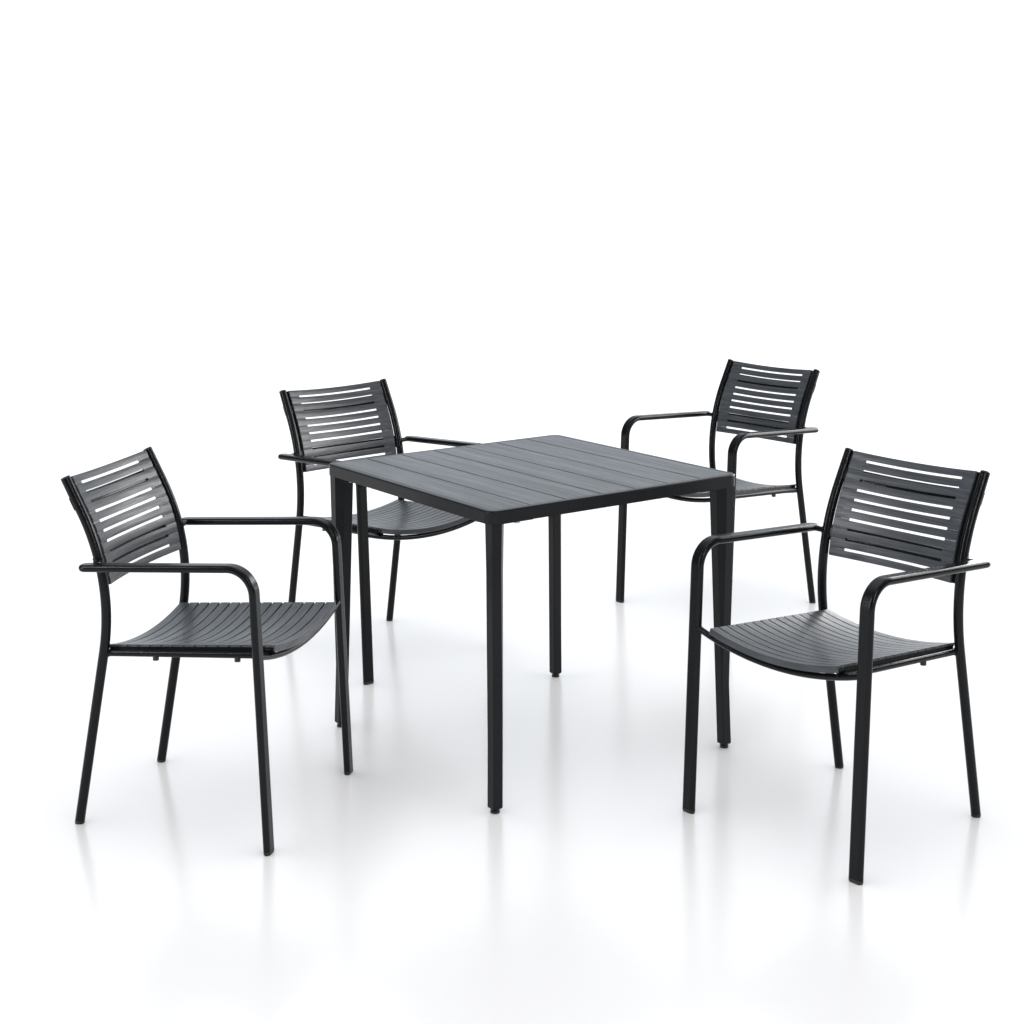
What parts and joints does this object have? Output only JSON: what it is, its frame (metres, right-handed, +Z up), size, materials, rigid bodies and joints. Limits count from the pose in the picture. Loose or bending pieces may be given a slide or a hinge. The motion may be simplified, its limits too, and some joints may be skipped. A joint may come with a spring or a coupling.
{
  "type": "patio dining set",
  "caption": "Square slatted patio table with tapered corner legs and bent-tube stacking armchairs with curved slatted seats and backs.",
  "frame": {"origin": "on the floor, at the middle of the whole set as it stands (middle of its bounding box)", "axes": "+Z up; +X to the right along the set's longest side; +Y to the back; the table's sides are parallel to X and Y"},
  "size_m": [2.8557, 2.3869, 0.8337],
  "materials": {
    "frame": "anthracite powder coat, satin to gloss",
    "slat": "anthracite powder coat with a fine brushed grain, satin",
    "dark_plastic": "matt, lightly textured",
    "steel": "zinc plated"
  },
  "bodies": {
    "table": {"table_frame": "frame", "table_slats": "slat", "table_bearers": "frame", "table_brackets": "frame", "table_bolts": "steel", "table_leg_front_left": "frame", "table_leg_front_right": "frame", "table_leg_back_right": "frame", "table_leg_back_left": "frame"},
    "foot_front_left": {"leveller_front_left": "dark_plastic"},
    "foot_front_right": {"leveller_front_right": "dark_plastic"},
    "foot_back_right": {"leveller_back_right": "dark_plastic"},
    "foot_back_left": {"leveller_back_left": "dark_plastic"},
    "chair_a": {"chair_a_right_leg_arm": "frame", "chair_a_left_leg_arm": "frame", "chair_a_right_post": "frame", "chair_a_left_post": "frame", "chair_a_seat_frame": "frame", "chair_a_seat_slats": "slat", "chair_a_back_frame": "frame", "chair_a_back_slats": "slat", "chair_a_glides": "dark_plastic", "chair_a_caps": "dark_plastic", "chair_a_bumpers": "dark_plastic"},
    "chair_b": {"chair_b_right_leg_arm": "frame", "chair_b_left_leg_arm": "frame", "chair_b_right_post": "frame", "chair_b_left_post": "frame", "chair_b_seat_frame": "frame", "chair_b_seat_slats": "slat", "chair_b_back_frame": "frame", "chair_b_back_slats": "slat", "chair_b_glides": "dark_plastic", "chair_b_caps": "dark_plastic", "chair_b_bumpers": "dark_plastic"},
    "chair_c": {"chair_c_right_leg_arm": "frame", "chair_c_left_leg_arm": "frame", "chair_c_right_post": "frame", "chair_c_left_post": "frame", "chair_c_seat_frame": "frame", "chair_c_seat_slats": "slat", "chair_c_back_frame": "frame", "chair_c_back_slats": "slat", "chair_c_glides": "dark_plastic", "chair_c_caps": "dark_plastic", "chair_c_bumpers": "dark_plastic"},
    "chair_d": {"chair_d_right_leg_arm": "frame", "chair_d_left_leg_arm": "frame", "chair_d_right_post": "frame", "chair_d_left_post": "frame", "chair_d_seat_frame": "frame", "chair_d_seat_slats": "slat", "chair_d_back_frame": "frame", "chair_d_back_slats": "slat", "chair_d_glides": "dark_plastic", "chair_d_caps": "dark_plastic", "chair_d_bumpers": "dark_plastic"}
  },
  "joints": [
    {"name": "chair_a_slide", "type": "slide", "parent": "table", "child": "chair_a", "axis": [0.6334, -0.7738, 0], "range_m": [-0.25, 0.12]},
    {"name": "chair_b_slide", "type": "slide", "parent": "table", "child": "chair_b", "axis": [0.0993, -0.9951, 0], "range_m": [-0.25, 0.2]},
    {"name": "chair_c_slide", "type": "slide", "parent": "table", "child": "chair_c", "axis": [-0.9963, -0.0854, 0], "range_m": [-0.25, 0.3]},
    {"name": "chair_d_slide", "type": "slide", "parent": "table", "child": "chair_d", "axis": [-0.9978, -0.0663, 0], "range_m": [-0.3, 0.3]},
    {"name": "leveller_front_left_screw", "type": "slide", "parent": "table", "child": "foot_front_left", "axis": [0, 0, -1], "range_m": [-0.002, 0.01]},
    {"name": "leveller_front_right_screw", "type": "slide", "parent": "table", "child": "foot_front_right", "axis": [0, 0, -1], "range_m": [-0.002, 0.01]},
    {"name": "leveller_back_right_screw", "type": "slide", "parent": "table", "child": "foot_back_right", "axis": [0, 0, -1], "range_m": [-0.002, 0.01]},
    {"name": "leveller_back_left_screw", "type": "slide", "parent": "table", "child": "foot_back_left", "axis": [0, 0, -1], "range_m": [-0.002, 0.01]}
  ]
}
